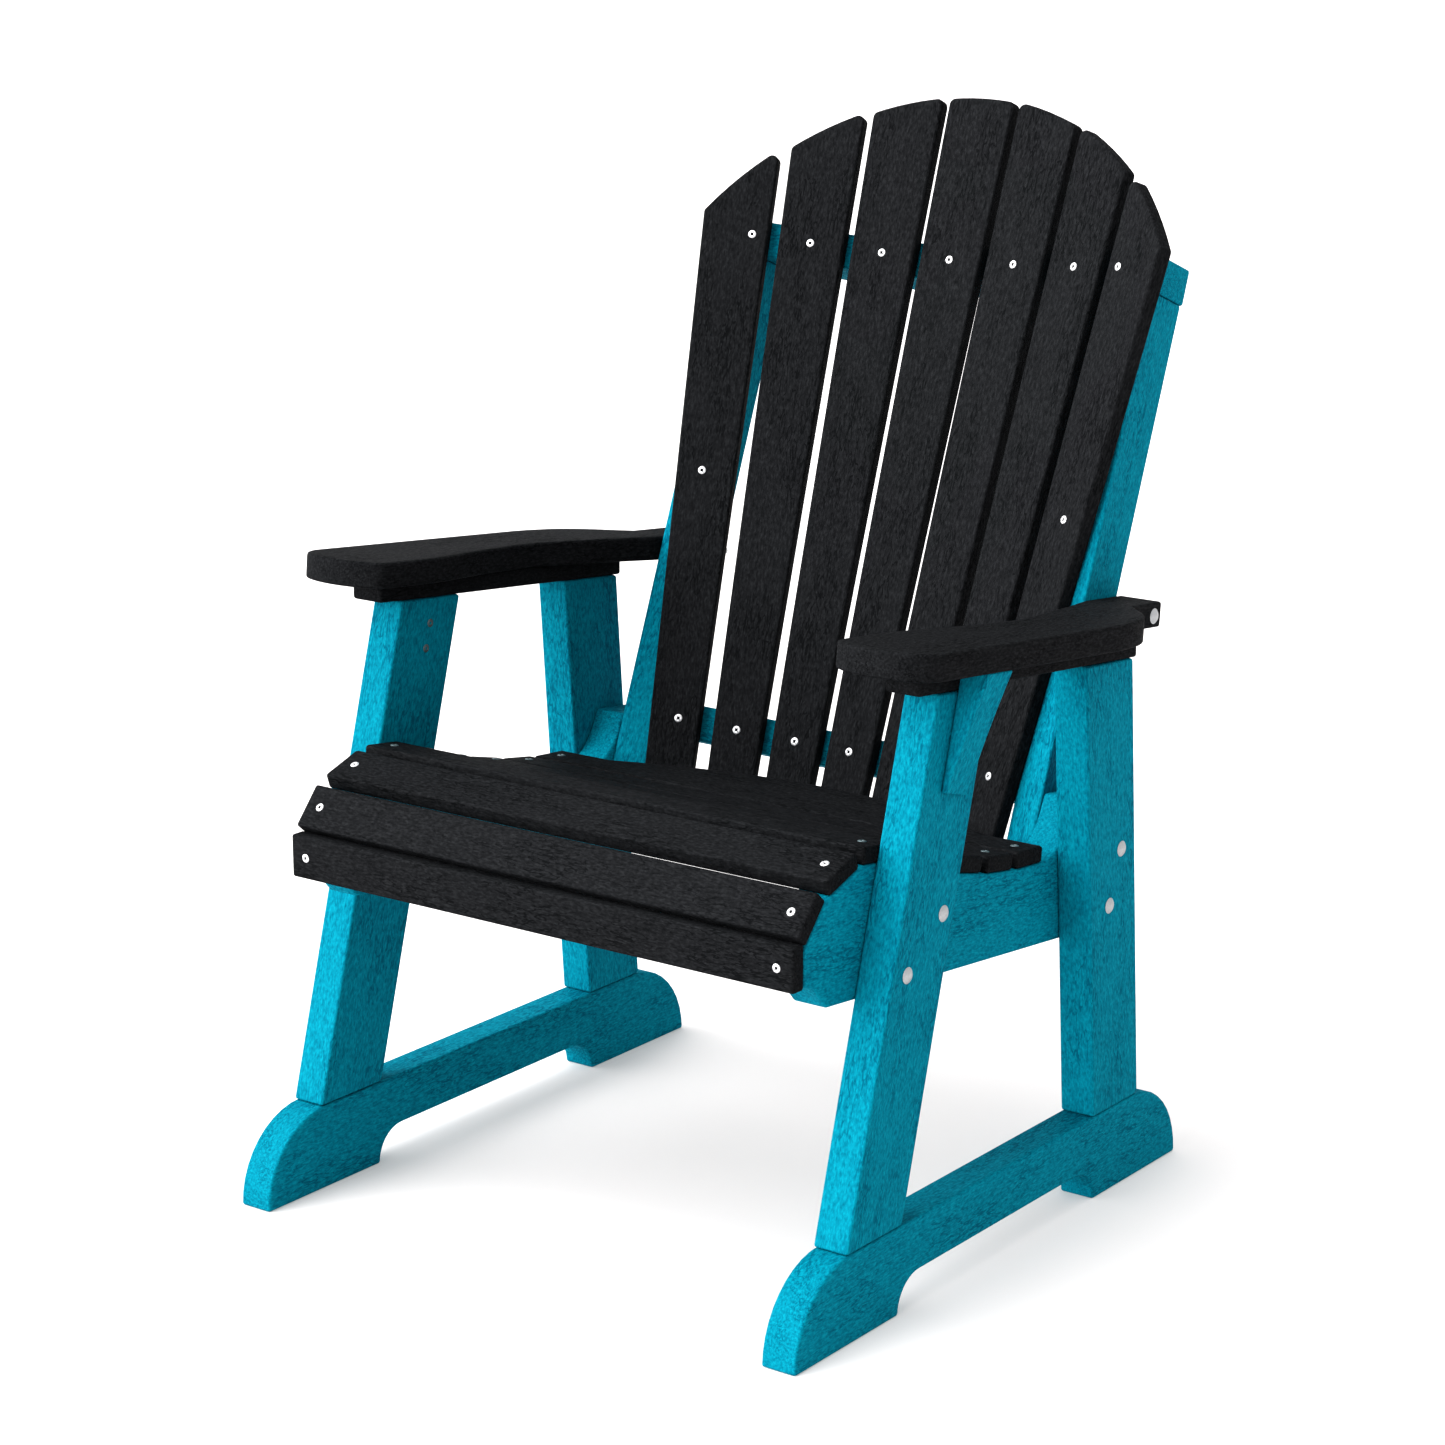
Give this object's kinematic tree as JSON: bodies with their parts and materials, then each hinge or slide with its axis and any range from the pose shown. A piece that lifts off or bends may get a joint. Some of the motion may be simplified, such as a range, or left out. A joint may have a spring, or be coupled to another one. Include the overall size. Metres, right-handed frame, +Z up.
{
  "type": "adirondack chair",
  "caption": "Upright Adirondack armchair with a fanned slat back, scooped slat seat, waisted arms and A-shaped side frames on arched sled feet.",
  "frame": {"origin": "on the floor, under the middle of the chair's width and depth", "axes": "+Z up, +X to the right of somebody facing the chair's front, +Y to the rear, so the sitter faces -Y"},
  "size_m": [0.7584, 0.8518, 1.0685],
  "materials": {
    "blue_lumber": "matt turquoise-blue plastic lumber with a streaky embossed grain",
    "black_lumber": "matt charcoal-black plastic lumber with a streaky embossed grain",
    "zinc_bolt": "satin bright zinc or stainless fasteners"
  },
  "bodies": {
    "root": {"left_foot": "blue_lumber", "left_front_leg": "blue_lumber", "left_rear_leg": "blue_lumber", "left_seat_rail": "blue_lumber", "left_back_upright": "blue_lumber", "left_arm_bracket": "blue_lumber", "left_arm_support": "black_lumber", "left_arm": "black_lumber", "left_front_bolt_1": "zinc_bolt", "left_front_bolt_2": "zinc_bolt", "left_rear_bolt_1": "zinc_bolt", "left_rear_bolt_2": "zinc_bolt", "left_arm_bolt": "zinc_bolt", "right_foot": "blue_lumber", "right_front_leg": "blue_lumber", "right_rear_leg": "blue_lumber", "right_seat_rail": "blue_lumber", "right_back_upright": "blue_lumber", "right_arm_bracket": "blue_lumber", "right_arm_support": "black_lumber", "right_arm": "black_lumber", "right_front_bolt_1": "zinc_bolt", "right_front_bolt_2": "zinc_bolt", "right_rear_bolt_1": "zinc_bolt", "right_rear_bolt_2": "zinc_bolt", "right_arm_bolt": "zinc_bolt", "back_top_rail": "blue_lumber", "back_bottom_rail": "blue_lumber", "back_slat_1": "black_lumber", "back_slat_2": "black_lumber", "back_slat_3": "black_lumber", "back_slat_4": "black_lumber", "back_slat_5": "black_lumber", "back_slat_6": "black_lumber", "back_slat_7": "black_lumber", "seat_apron": "black_lumber", "seat_slat_1": "black_lumber", "seat_slat_2": "black_lumber", "seat_slat_3": "black_lumber", "seat_slat_4": "black_lumber", "seat_slat_5": "black_lumber", "seat_slat_6": "black_lumber", "seat_slat_7": "black_lumber", "seat_slat_8": "black_lumber"}
  },
  "joints": []
}
